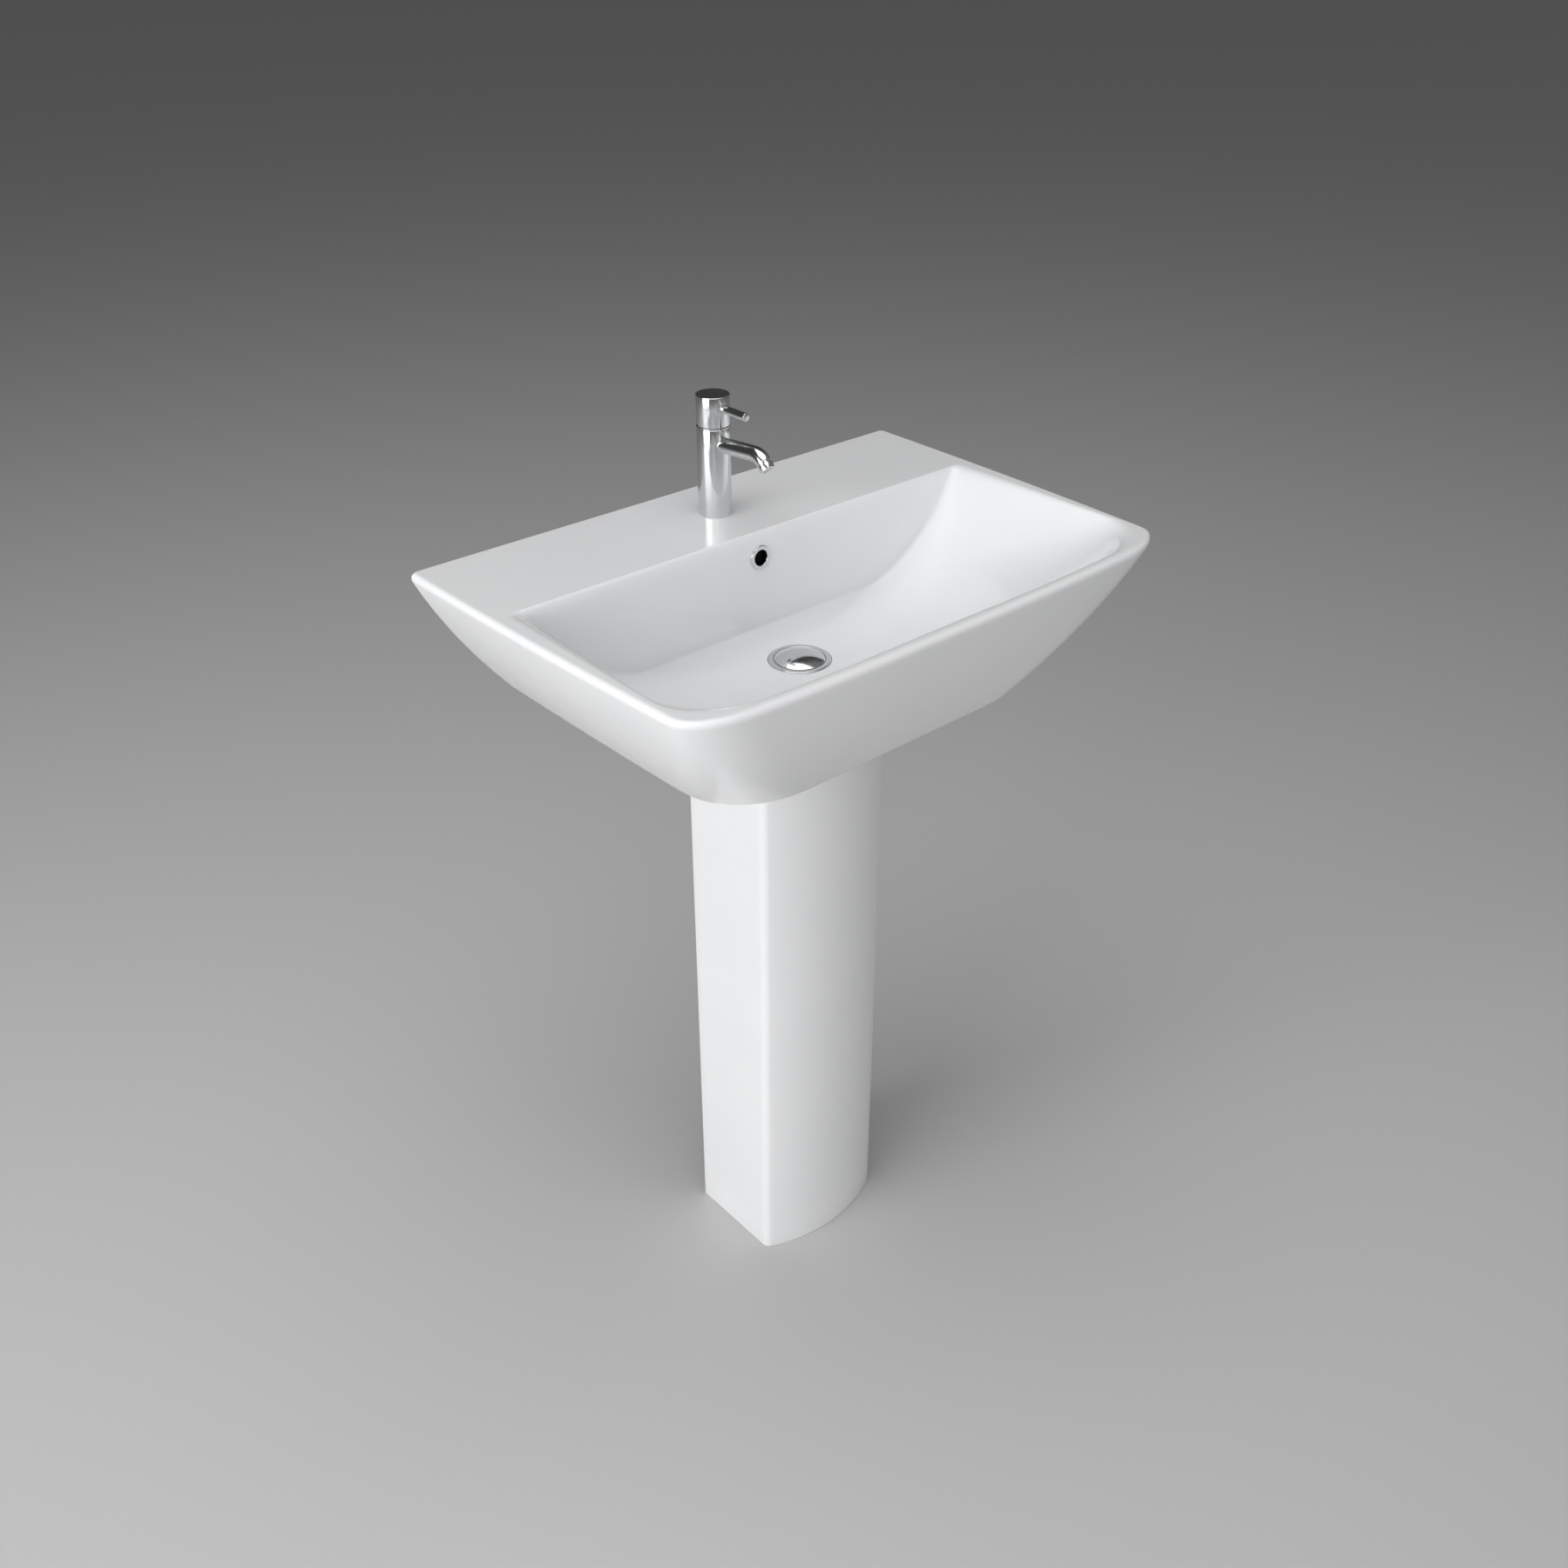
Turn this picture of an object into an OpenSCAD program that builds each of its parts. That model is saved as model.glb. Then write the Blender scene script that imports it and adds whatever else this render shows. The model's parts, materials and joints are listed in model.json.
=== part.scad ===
// Pedestal sink: ceramic basin on a ceramic pedestal, single-lever mixer tap, click waste and bottle trap.
// Millimetres. +Z is up, -Y faces the user, and the back of the basin is the wall plane.
// The origin is at floor level under the centre of the basin's plan.

/* [Basin] */
// Width of the rim at the wall
basin_width = 610; // [604:616]
// Depth from the wall to the front of the rim
basin_depth = 411; // [406:416]
// Height of the rim above the floor
rim_height = 850; // [820:880]
// Height of the basin from its bottom edge to the rim
basin_height = 150; // [148:154]
// Thickness of the ceramic skins
skin = 12; // [11:13]
// Depth of the bowl from the rim to the waste
bowl_depth = 114; // [112:116]
// Distance of the waste from the wall
waste_setback = 195; // [190:198]

/* [Pedestal] */
// Width of the pedestal
pedestal_width = 168; // [160:172]
// Distance of the pedestal's open back from the wall
pedestal_setback = 119; // [116:124]
// Depth of the pedestal from its open back to its front
pedestal_depth = 137; // [134:140]

/* [Tap] */
// Diameter of the tap body
tap_diameter = 33; // [32.6:0.1:33.4]
// Height of the tap above the deck
tap_height = 120; // [118:124]
// Distance of the tap axis from the wall
tap_setback = 69; // [67:71]
// Distance from the tap axis to the tip of the spout
spout_reach = 80; // [74:90]
// Length of the lever outside the cap
lever_length = 33; // [28:40]
// Angle that the lever lifts through
lift_angle = 20; // [16:20]

/* [Waste] */
// Height of the centre of the outlet pipe above the floor
outlet_height = 632; // [628:636]

/* [Hidden] */
$fn = 96;
rim_z = rim_height;
base_z = rim_height - basin_height;
half_rear = basin_width / 2;          // half width of the rim at the wall
half_front = half_rear - 11;          // and where the front corners begin
base_half = 208;                      // half width of the bottom edge
base_front = 337.5;                   // distance from the wall to the front of the bottom edge
rim_corner = [56, 29];                // front corner of the rim, radii along x and y
base_corner = [80, 70];               // front corner of the bottom edge
front_bow = 10.5;                     // how far the rim's front corners fall back from the middle
side_bulge = 0.312;                   // convexity of the sides and of the front
lip_r = 4;                            // rounding of the rim's outer edge
foot_r = 1.5;                         // bevel of the bottom edge
deck_edge = 136;                      // distance from the wall to the rear edge of the bowl
bowl_half = half_rear - 30;           // half width of the bowl at the rim, at its rear edge
bowl_widening = 9;                    // and how much wider it is towards the front
bowl_front = basin_depth - waste_setback - 20;   // from the waste to the front of the bowl at the rim
bowl_power = 0.33;                    // shape of the bowl's section: a shallow U that opens to the rim
floor_rise = 0.877;                   // share of the bowl's depth at which its floor meets the rear wall
bowl_edge = 8;                        // width of the rounding between the rim and the bowl
rim_widening = 6;                     // widening at the top of that rounding, clear of the outer lip
drain_r = 33;                         // flat round the waste
floor_z = rim_z - bowl_depth;         // level of the flat round the waste
pad_z = floor_z - 24;                 // underside of the seat for the pedestal
deck_under = rim_z - skin;            // underside of the deck
back_skin = 12;                       // thickness of the wall flange
cavity_top = rim_z - 66;              // where the bowl's side meets the inner side of the skirt
tap_hole_r = 14;
waste_bore_r = 23;
overflow_drop = 26;                   // centre of the overflow hole below the rim
overflow_hole_r = 10;
duct_half = 22;                       // half width of the overflow duct behind the bowl
duct_back = 100;                      // distances from the wall to the back and front of the duct
duct_front = 132;
duct_skin = 6;
wall_bolt_spacing = 280;
wall_bolt_drop = 50;                  // below the rim
wall_bolt_bore_r = 5.25;
sleeve_r = 8;

// Outline of the basin at one level: half widths at the rear and front, rear and front positions,
// rear corner radius, front corner radii, bow of the front edge and the power of the sides' taper.
function half_ring(xr, xf, yr, yf, rr, rx, ry, bow, z, power) = concat(
    [[0, yr, z]],
    [for (a = [90 : -30 : 0]) [xr - rr + rr * cos(a), yr - rr + rr * sin(a), z]],
    [for (i = [1 : 5]) let (t = i / 6)
        [xr + (xf - xr) * pow(t, power), (yr - rr) + (yf + ry - yr + rr) * t + bow * t * 0.9, z]],
    [for (a = [0 : 12.857 : 90.1]) let (x = xf - rx + rx * cos(a))
        [x, yf + ry - ry * sin(a) + bow * pow(x / xf, 3), z]],
    [for (i = [3 : -1 : 0]) let (x = (xf - rx) * i / 4) [x, yf + bow * pow(x / xf, 3), z]]
);
function ring(xr, xf, yr, yf, rr, rx, ry, bow, z, power = 2) =
    let (h = half_ring(xr, xf, yr, yf, rr, rx, ry, bow, z, power), n = len(h))
    concat(h, [for (i = [n - 2 : -1 : 1]) [-h[i][0], h[i][1], h[i][2]]]);

function mix(a, b, t) = a + (b - a) * t;
function convex(t) = t - side_bulge * t * (1 - t);
// Outer face at fraction t of the height below the rim, moved inwards by `inset`.
function skirt_ring(t, inset, z, back) = ring(
    mix(half_rear, base_half, convex(t)) - inset,
    mix(half_front, base_half - 4, convex(t)) - inset,
    -back,
    -mix(basin_depth, base_front, convex(t)) + inset,
    2.5,
    max(mix(rim_corner[0], base_corner[0], t) - inset, 4),
    max(mix(rim_corner[1], base_corner[1], t) - inset, 4),
    mix(front_bow, 0, t), z);

// Inner face of the bowl at fraction s of its depth, moved outwards by `out` and down by `drop`.
wall_reach = waste_setback - deck_edge;
function bowl_w(s) = drain_r + (bowl_half - drain_r) * pow(1 - s, bowl_power);
function bowl_f(s) = drain_r + (bowl_front - drain_r) * pow(1 - s, bowl_power);
function bowl_b(s) = s < floor_rise ? wall_reach - 2 * s
    : drain_r + (wall_reach - 2 - drain_r) * pow((1 - s) / (1 - floor_rise), 0.6);
function bowl_ring(s, out, drop, rear_out = 0, widening = bowl_widening) =
    let (w = bowl_w(s) + out, f = bowl_f(s) + out, b = bowl_b(s) + rear_out,
        grow = 1 + widening / bowl_half)
    ring(w, w * grow, b - waste_setback, -f - waste_setback,
        min(8 + 60 * pow(s / floor_rise, 5), 0.9 * min(w, b)),
        min(56 + 150 * s, 0.9 * w), min(44 + 150 * s, 0.9 * f),
        front_bow * (1 - s), rim_z - bowl_depth * s - drop, 0.7);
function circle_ring(r, z) = ring(r, r, r - waste_setback, -r - waste_setback,
    0.9 * r, 0.9 * r, 0.9 * r, 0, z);

// Seat for the pedestal under the bowl.
seat_half = 112;
seat_rear = 105;                      // distances from the wall to the back and front of the seat
seat_front = 276;
bowl_shares = [0.05, 0.13, 0.23, 0.34, 0.46, 0.57, 0.67, 0.76, 0.83, 0.877, 0.92, 0.96, 0.987];
// Underside of the bowl: share of the depth, and the move outwards and down.
bowl_under = [[0.5, 8, 7], [0.62, 7, 9], [0.74, 5, 10], [0.83, 4, 11]];
basin_rings = concat(
    // bowl, from the flat round the waste up to the rim
    [circle_ring(drain_r - 8, floor_z), circle_ring(drain_r, floor_z)],
    [for (i = [len(bowl_shares) - 1 : -1 : 0]) bowl_ring(bowl_shares[i], 0, 0)],
    [bowl_ring(0, 1.5, 2.2, 0.3, (bowl_widening + rim_widening) / 2),
        bowl_ring(0, 4.5, 0.7, 1.2, rim_widening),
        bowl_ring(0, bowl_edge, 0, 3, rim_widening)],
    // rim and outer face
    [for (a = [0 : 30 : 90]) let (d = lip_r * (1 - cos(a)))
        skirt_ring(d / basin_height, lip_r * (1 - sin(a)), rim_z - d, 0)],
    [for (t = [0.1 : 0.1 : 0.91]) skirt_ring(t, 0, rim_z - t * basin_height, 0)],
    [skirt_ring(1 - foot_r / basin_height, 0, base_z + foot_r, 0), skirt_ring(1, foot_r, base_z, 0)],
    // inner side of the skirt, up to where it meets the outside of the bowl
    [for (z = [base_z, base_z + 30, cavity_top])
        skirt_ring((rim_z - z) / basin_height, skin + 1, z, back_skin)],
    // underside of the bowl and the seat for the pedestal
    [for (u = bowl_under) bowl_ring(u[0], u[1], u[2], skin - 2)],
    [seat_ring(2, pad_z + 20), seat_ring(2, pad_z + 2), seat_ring(0, pad_z), circle_ring(drain_r, pad_z)]
);
function seat_ring(out, z) = ring(seat_half + out, seat_half + out - 3, out - seat_rear,
    -seat_front - out, 12, 50, 40, 0, z);

function flatten(l) = [for (r = l) for (p = r) p];
// Side faces between neighbouring rings; the first and last rings are closed by fans round a middle point.
function loft_faces(rows, n) = concat(
    [for (r = [0 : rows - 2]) for (i = [0 : n - 1]) let (j = (i + 1) % n)
        [r * n + i, (r + 1) * n + j, r * n + j]],
    [for (r = [0 : rows - 2]) for (i = [0 : n - 1]) let (j = (i + 1) % n)
        [r * n + i, (r + 1) * n + i, (r + 1) * n + j]],
    [for (i = [0 : n - 1]) [rows * n, i, (i + 1) % n]],
    [for (i = [0 : n - 1]) [rows * n + 1, (rows - 1) * n + (i + 1) % n, (rows - 1) * n + i]]
);
module loft(rings, first, last) {
    polyhedron(points = concat(flatten(rings), [first, last]), faces = loft_faces(len(rings), len(rings[0])));
}

// Puts a piece that is drawn from the wall plane into the part's own frame.
plan_depth = max([for (r = basin_rings) for (p = r) -p[1]]);
module placed() {
    translate([0, plan_depth / 2, 0]) children();
}
module along_y(y, z, x = 0) {
    translate([x, y, z]) rotate([90, 0, 0]) children();
}
module at_tap(z) {
    translate([0, -tap_setback, z]) children();
}
module at_waste(z) {
    translate([0, -waste_setback, z]) children();
}
// Origin on the bowl's rear wall at the overflow, +Z straight out of the wall.
module on_overflow() {
    translate([0, bowl_b(overflow_drop / bowl_depth) - waste_setback, rim_z - overflow_drop])
        rotate([90 - atan(2 / bowl_depth), 0, 0]) children();
}
module tube(r_out, r_in, h) {
    difference() {
        cylinder(r = r_out, h = h);
        translate([0, 0, -1]) cylinder(r = r_in, h = h + 2);
    }
}

module basin() {
    color("white") placed() difference() {
        union() {
            loft(basin_rings, [0, -waste_setback, floor_z], [0, -waste_setback, pad_z]);
            // overflow duct behind the bowl
            translate([-duct_half, -duct_front, pad_z + 1])
                cube([2 * duct_half, duct_front - duct_back, deck_under + 2 - pad_z]);
        }
        // space under the deck for the fixings of the tap
        difference() {
            translate([-248, -deck_edge + skin + 2, cavity_top - 5])
                cube([496, deck_edge - skin - 2 - back_skin, deck_under - cavity_top + 5]);
            translate([-duct_half, -duct_front, cavity_top - 6])
                cube([2 * duct_half, duct_front - duct_back, 100]);
        }
        at_tap(deck_under - 1) cylinder(r = tap_hole_r, h = skin + 2);
        at_waste(pad_z - 1) cylinder(r = waste_bore_r, h = 40);
        at_waste(floor_z - 3) cylinder(r = 31.6, h = 20);
        // overflow: round hole, duct down behind the bowl and passage forward to the waste
        on_overflow() translate([0, 0, -26]) cylinder(r = overflow_hole_r, h = 40);
        translate([-duct_half + 8, -122, pad_z + 10])
            cube([2 * duct_half - 16, 122 - duct_back - duct_skin, rim_z - 12 - pad_z - 10 - 6]);
        translate([-duct_half + 8, -waste_setback + 10, pad_z + 10])
            cube([2 * duct_half - 16, waste_setback - 10 - duct_back - duct_skin, 8]);
        for (x = [-1, 1]) along_y(1, rim_z - wall_bolt_drop, x * wall_bolt_spacing / 2)
            cylinder(r = sleeve_r, h = back_skin + 2);
    }
}

// ---- pedestal ----
pedestal_skin = 11;
gasket_t = 2;
pedestal_top = pad_z - gasket_t;
pedestal_corner_r = 11;
pedestal_bow_r = 180;
pedestal_front = pedestal_setback + pedestal_depth;
lug_bolt_spacing = 104;
lug_hole_r = 3.5;

// Plan of the pedestal, moved inwards by `inset`: an open-backed U with a bowed front.
function bow_y(x) = -pedestal_front + pedestal_bow_r - sqrt(pedestal_bow_r * pedestal_bow_r - x * x);
function pedestal_plan(inset, back) =
    let (w = pedestal_width / 2 - inset, r = max(pedestal_corner_r - inset, 3), t = w - r * 0.55)
    concat(
        [[-w, -back], [w, -back]],
        [for (a = [0 : 15 : 60]) [w - r + r * cos(a), bow_y(w) + inset + r * 0.65 - r * sin(a)]],
        [for (i = [6 : -1 : -6]) [t * i / 7, bow_y(t * i / 7) + inset]],
        [for (a = [60 : -15 : 0]) [-w + r - r * cos(a), bow_y(w) + inset + r * 0.65 - r * sin(a)]]
    );
module pedestal_slice(z, h, inset) {
    translate([0, 0, z]) linear_extrude(h) polygon(pedestal_plan(inset, pedestal_setback));
}
module pedestal() {
    color("white") placed() {
        difference() {
            union() {
                pedestal_slice(0, 1.5, 1);
                pedestal_slice(1.5, pedestal_top - 1.5, 0);
            }
            translate([0, 0, -1]) linear_extrude(pedestal_top + 2)
                polygon(pedestal_plan(pedestal_skin, pedestal_setback - 5));
        }
        // lugs inside the foot for the floor screws
        for (x = [-1, 1]) difference() {
            translate([x * lug_bolt_spacing / 2 - 22, -pedestal_setback - 46, 0]) cube([44, 34, 16]);
            translate([x * lug_bolt_spacing / 2, -pedestal_setback - 29, -1])
                cylinder(r = lug_hole_r, h = 20);
        }
    }
}
module pedestal_gasket() {
    color("gray") placed() translate([0, 0, pedestal_top]) linear_extrude(gasket_t) difference() {
        polygon(pedestal_plan(2, pedestal_setback + 2));
        polygon(pedestal_plan(pedestal_skin - 2, pedestal_setback - 5));
    }
}
module wall_sleeves() {
    color("white") placed() for (x = [-1, 1])
        along_y(0, rim_z - wall_bolt_drop, x * wall_bolt_spacing / 2) difference() {
            union() {
                cylinder(r = sleeve_r, h = back_skin);
                translate([0, 0, back_skin]) cylinder(r = 13, h = 3);
            }
            translate([0, 0, -1]) cylinder(r = wall_bolt_bore_r, h = back_skin + 6);
        }
}

// ---- overflow ring ----
module overflow_ring() {
    color("silver") placed() on_overflow() rotate_extrude() polygon(concat(
        [[8, -6], [overflow_hole_r, -6], [overflow_hole_r, 0.02], [12.5, 0.02]],
        [for (a = [0 : 18 : 90]) [11 + 1.5 * cos(a), 0.9 + 1.2 * sin(a)]],
        [[9, 2.1], [8, 1.3]]
    ));
}

// ---- tap body ----
tap_r = tap_diameter / 2;
seam_z = rim_z + tap_height - 29.5;   // underside of the turning cap
body_top = seam_z - 2.2;
seat_z = seam_z - 36;                 // seat of the cartridge
chamber_r = 13.4;
inlet_x = 8;
inlet_y = -3;
inlet_r = 4.5;
inlet_length = 12;
stud_y = 9;
seal_out_r = 15.7;                     // seal between the body and the deck
seal_in_r = 14.4;
stud_r = 4;
spout_r = 7.5;
spout_bore_r = 5.5;
spout_z = rim_z + tap_height - 48.5;  // height of the spout's centre on the tap axis
spout_rise = 5;
spout_drop = 46;
spout_bend_r = 18;
aerator_length = 8;
spout_straight = (spout_reach - spout_bend_r * (sin(spout_rise) + sin(spout_drop))
    - aerator_length * cos(spout_drop)) / cos(spout_rise);

// Places a child, drawn along +Z, at the end of the spout's straight run or of its bend.
module on_spout() {
    at_tap(spout_z) rotate([90 - spout_rise, 0, 0]) children();
}
module at_tip() {
    on_spout() translate([0, -spout_bend_r, spout_straight])
        rotate([spout_rise + spout_drop, 0, 0]) translate([0, spout_bend_r, 0]) children();
}
module tap_body() {
    color("silver") placed() difference() {
        at_tap(rim_z) cylinder(r = tap_r, h = body_top - rim_z);
        at_tap(seat_z) cylinder(r = chamber_r, h = 60);
        on_spout() cylinder(r = spout_r, h = 30);
        for (x = [-1, 1]) at_tap(rim_z - 1) translate([x * inlet_x, inlet_y, 0]) {
            cylinder(r = inlet_r, h = inlet_length + 1);
            cylinder(r = 3, h = 80);
        }
        at_tap(rim_z - 1) translate([0, stud_y, 0]) cylinder(r = stud_r, h = 15);
        at_tap(rim_z - 1) tube(seal_out_r, seal_in_r, 2.2);
    }
}
module tap_base_seal() {
    color("black") placed() at_tap(rim_z) tube(seal_out_r, seal_in_r, 1.2);
}
module tap_trim_ring() {
    color("silver") placed() at_tap(body_top) tube(tap_r, chamber_r + 0.3, 1.5);
}
module tap_spout() {
    color("silver") placed() {
        difference() {
            on_spout() tube(spout_r, spout_bore_r, spout_straight);
            at_tap(seat_z) cylinder(r = chamber_r, h = 60);
        }
        on_spout() translate([0, -spout_bend_r, spout_straight]) rotate([90, 0, 90])
            rotate_extrude(angle = spout_rise + spout_drop) translate([spout_bend_r, 0]) difference() {
                circle(r = spout_r);
                circle(r = spout_bore_r);
            }
    }
}
module aerator_housing() {
    color("silver") placed() at_tip() difference() {
        union() {
            translate([0, 0, 2.2]) cylinder(r = spout_r, h = aerator_length - 2.2);
            cylinder(r = spout_r - 0.5, h = 3);
        }
        translate([0, 0, -1]) cylinder(r = 4.4, h = 20);
        translate([0, 0, 2]) cylinder(r = 5.4, h = 5.4);
    }
}
module aerator_insert() {
    color("white") placed() at_tip() translate([0, 0, 3.2]) difference() {
        cylinder(r = 5.4, h = 4.2);
        for (i = [-2 : 2]) for (j = [-2 : 2]) if (i * i + j * j < 8)
            translate([i * 1.9 - 0.6, j * 1.9 - 0.6, 2.5]) cube([1.2, 1.2, 4]);
        translate([0, 0, -1]) cylinder(r = 3.6, h = 2.8);
    }
}
module aerator_washer() {
    color("black") placed() at_tip() translate([0, 0, 2]) tube(5.4, 3.8, 1.2);
}

// ---- fixing of the tap under the deck ----
clamp_r = 21;
stud_length = 66;
module clamp_plate(t) {
    difference() {
        cylinder(r = clamp_r, h = t);
        // open side for the supply hoses
        translate([-14, -25, -1]) cube([28, 30, t + 2]);
        translate([0, stud_y, -1]) cylinder(r = stud_r + 0.3, h = t + 2);
    }
}
module tap_fixing_stud() {
    color("goldenrod") placed() at_tap(rim_z + 12 - stud_length) translate([0, stud_y, 0])
        cylinder(r = stud_r, h = stud_length);
}
module tap_clamp_gasket() {
    color("black") placed() at_tap(deck_under - 3) clamp_plate(3);
}
module tap_clamp_washer() {
    color("silver") placed() at_tap(deck_under - 5.5) clamp_plate(2.5);
}
module tap_fixing_nut() {
    color("goldenrod") placed() at_tap(deck_under - 12) translate([0, stud_y, 0]) difference() {
        cylinder(r = 7.5, h = 6.5, $fn = 6);
        translate([0, 0, -1]) cylinder(r = stud_r, h = 9);
    }
}

// ---- cartridge ----
lift_pivot_z = seam_z - 6.5;
disc_z = seat_z + 4;
module cartridge_base() {
    color("ivory") placed() at_tap(seat_z) difference() {
        cylinder(r = 12.4, h = 4);
        for (x = [-1, 1]) translate([x * inlet_x, inlet_y, -1]) {
            cylinder(r = 2.2, h = 6);
            cylinder(r = 3.4, h = 2);
        }
        translate([0, 4, -1]) cylinder(r = 2.5, h = 6);
    }
}
module port_seals() {
    color("black") placed() for (x = [-1, 1])
        at_tap(seat_z) translate([x * inlet_x, inlet_y, 0]) tube(3.4, 2.3, 1);
}
module fixed_disc() {
    color("ivory") placed() at_tap(disc_z) difference() {
        cylinder(r = 10.1, h = 3);
        for (x = [-1, 1]) translate([x * 6.2, inlet_y, -1]) cylinder(r = 2, h = 5);
        translate([0, 4, -1]) cylinder(r = 2.5, h = 5);
    }
}
module moving_disc() {
    color("ivory") placed() at_tap(disc_z + 3.05) difference() {
        union() {
            cylinder(r = 5.8, h = 3);
            translate([-5, -4.5, 3]) cube([10, 9, 9]);
        }
        translate([0, 0, 5]) cylinder(r = 2.7, h = 8);
    }
}
module cartridge_driver() {
    color("silver") placed() at_tap(disc_z + 3.6) difference() {
        union() {
            translate([0, 0, 15]) cylinder(r = 8, h = 11.5);
            for (x = [-1, 1]) translate([x * 7 - 1.8, -4, 3]) cube([3.6, 8, 13]);
        }
        translate([-3.6, -5.6, 14]) cube([7.2, 11.2, 14]);
        translate([-20, 0, lift_pivot_z - disc_z - 3.6]) rotate([0, 90, 0]) cylinder(r = 1.5, h = 40);
    }
}
module stem_pin() {
    color("silver") placed() at_tap(lift_pivot_z) translate([-7.6, 0, 0]) rotate([0, 90, 0])
        cylinder(r = 1.5, h = 15.2);
}
module cartridge_housing() {
    color("ivory") placed() difference() {
        union() {
            at_tap(disc_z) cylinder(r = 11.2, h = 23);
            at_tap(disc_z + 23) cylinder(r = 13.2, h = 2.5);
        }
        at_tap(disc_z - 1) cylinder(r = 10.2, h = 23.5);
        at_tap(disc_z + 20) cylinder(r = 8.6, h = 8);
        // outlet windows
        at_tap(disc_z + 4) translate([-4, -20, 0]) cube([8, 40, 5]);
    }
}
module cartridge_nut() {
    color("goldenrod") placed() at_tap(disc_z + 25.5) difference() {
        cylinder(r = chamber_r, h = 4.3);
        translate([0, 0, -1]) cylinder(r = 9.4, h = 7);
        for (a = [0 : 90 : 270]) rotate(a) translate([9, -1.5, 2.4]) cube([4, 3, 3]);
    }
}
module cartridge_stem() {
    color("silver") placed() difference() {
        union() {
            at_tap(disc_z + 12.5) cylinder(r = 1.8, h = 12);
            at_tap(lift_pivot_z - 3.5) translate([-3.4, -3.4, 0])
                cube([6.8, 6.8, rim_z + tap_height - lift_pivot_z]);
        }
        at_tap(lift_pivot_z) translate([-20, 0, 0]) rotate([0, 90, 0]) cylinder(r = 1.55, h = 40);
        at_tap(rim_z + tap_height - 5) translate([-10, -10, 0]) cube([20, 20, 20]);
    }
}

// ---- lever ----
lever_r = 4;
lever_drop = 11.3;                    // centre of the lever below the top of the cap
lever_z = rim_z + tap_height - lever_drop;
cap_wall = 1.6;
cap_top = 3;
module handle_cap() {
    cap_h = tap_height + rim_z - seam_z;
    color("silver") placed() difference() {
        union() {
            difference() {
                at_tap(seam_z) rotate_extrude() polygon(concat(
                    [[0, 0], [tap_r, 0]],
                    [for (a = [0 : 30 : 90]) [tap_r - 0.6 + 0.6 * cos(a), cap_h - 0.6 + 0.6 * sin(a)]],
                    [[0, cap_h]]
                ));
                at_tap(seam_z - 1) cylinder(r = tap_r - cap_wall, h = cap_h + 1 - cap_top);
            }
            at_tap(lever_z - 6) cylinder(r = 7.5, h = lever_drop + 4);
        }
        // socket for the stem, hole for the lever's thread and hole for the grub screw
        at_tap(lever_z - 7) translate([-3.4, -3.4, 0]) cube([6.8, 6.8, lever_drop + 2]);
        along_y(-tap_setback - 3.4, lever_z) cylinder(r = 2.5, h = 30);
        along_y(-tap_setback + tap_r + 1, lever_z) cylinder(r = 2, h = tap_r - 2.4);
        // relief under the rear so that the cap can tip back
        at_tap(lift_pivot_z) rotate([lift_angle, 0, 0])
            translate([-20, -30, -20 + seam_z - 0.5 - lift_pivot_z]) cube([40, 60, 20]);
    }
}
module lever_pin() {
    color("silver") placed() {
        along_y(-tap_setback - 3.4, lever_z) cylinder(r = 2.5, h = tap_r);
        difference() {
            along_y(-tap_setback - tap_r + 0.6, lever_z) cylinder(r = lever_r, h = lever_length + 0.1);
            at_tap(lever_z - 10) cylinder(r = tap_r, h = 20);
        }
        along_y(-tap_setback - tap_r - lever_length + 0.5, lever_z)
            cylinder(r1 = lever_r, r2 = lever_r - 0.5, h = 0.5);
    }
}
module grub_screw() {
    color("dimgray") placed() along_y(-tap_setback + 8.4, lever_z) difference() {
        cylinder(r = 2, h = 5);
        translate([0, 0, -1]) cylinder(r = 1, h = 3, $fn = 6);
    }
}

// ---- waste ----
tail_r = 20.8;
tail_bore_r = 18.5;
tail_end = floor_z - 67;
flange_z = floor_z - 1.8;             // underside of the waste's flange
flange_r = 31;
module waste_body() {
    color("silver") placed() at_waste(0) difference() {
        rotate_extrude() polygon([
            [tail_bore_r, tail_end], [tail_r, tail_end], [tail_r, flange_z - 7], [22.7, flange_z - 5],
            [22.7, flange_z - 1.3], [25.5, flange_z], [flange_r, flange_z],
            [flange_r, flange_z + 1.6], [flange_r - 1, flange_z + 2.5], [26.4, flange_z + 2.5],
            [25.6, flange_z + 1.9], [25.6, flange_z + 1.2], [21.5, flange_z + 0.6],
            [19.6, flange_z - 3], [tail_bore_r, flange_z - 8]
        ]);
        for (a = [0, 90]) rotate(a) translate([-7, -30, pad_z + 9.5]) cube([14, 60, 4]);
    }
}
module waste_top_seal() {
    color("black") placed() at_waste(floor_z - 3) tube(30, 26, 1.2);
}
module waste_lower_seal() {
    color("black") placed() at_waste(pad_z - 4) rotate_extrude() polygon([
        [tail_r, 0], [29, 0], [29, 2.5], [27.5, 4], [tail_r, 4]
    ]);
}
module waste_backnut() {
    color("goldenrod") placed() at_waste(pad_z - 12) difference() {
        union() {
            cylinder(r = 27, h = 8, $fn = 8);
            translate([0, 0, 6]) cylinder(r = 28.5, h = 2);
        }
        translate([0, 0, -1]) cylinder(r = tail_r, h = 12);
    }
}
guide_z = pad_z - 12;
module plug_guide() {
    color("white") placed() at_waste(guide_z) {
        tube(tail_bore_r, tail_bore_r - 2, 6);
        difference() {
            union() {
                cylinder(r = 5.5, h = 12);
                for (a = [0 : 120 : 240]) rotate(a) translate([0, -1.2, 0]) cube([tail_bore_r - 1, 2.4, 6]);
            }
            translate([0, 0, -1]) cylinder(r = 3.05, h = 16);
        }
    }
}
plug_r = 25;
plug_z = flange_z + 1.35;
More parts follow.
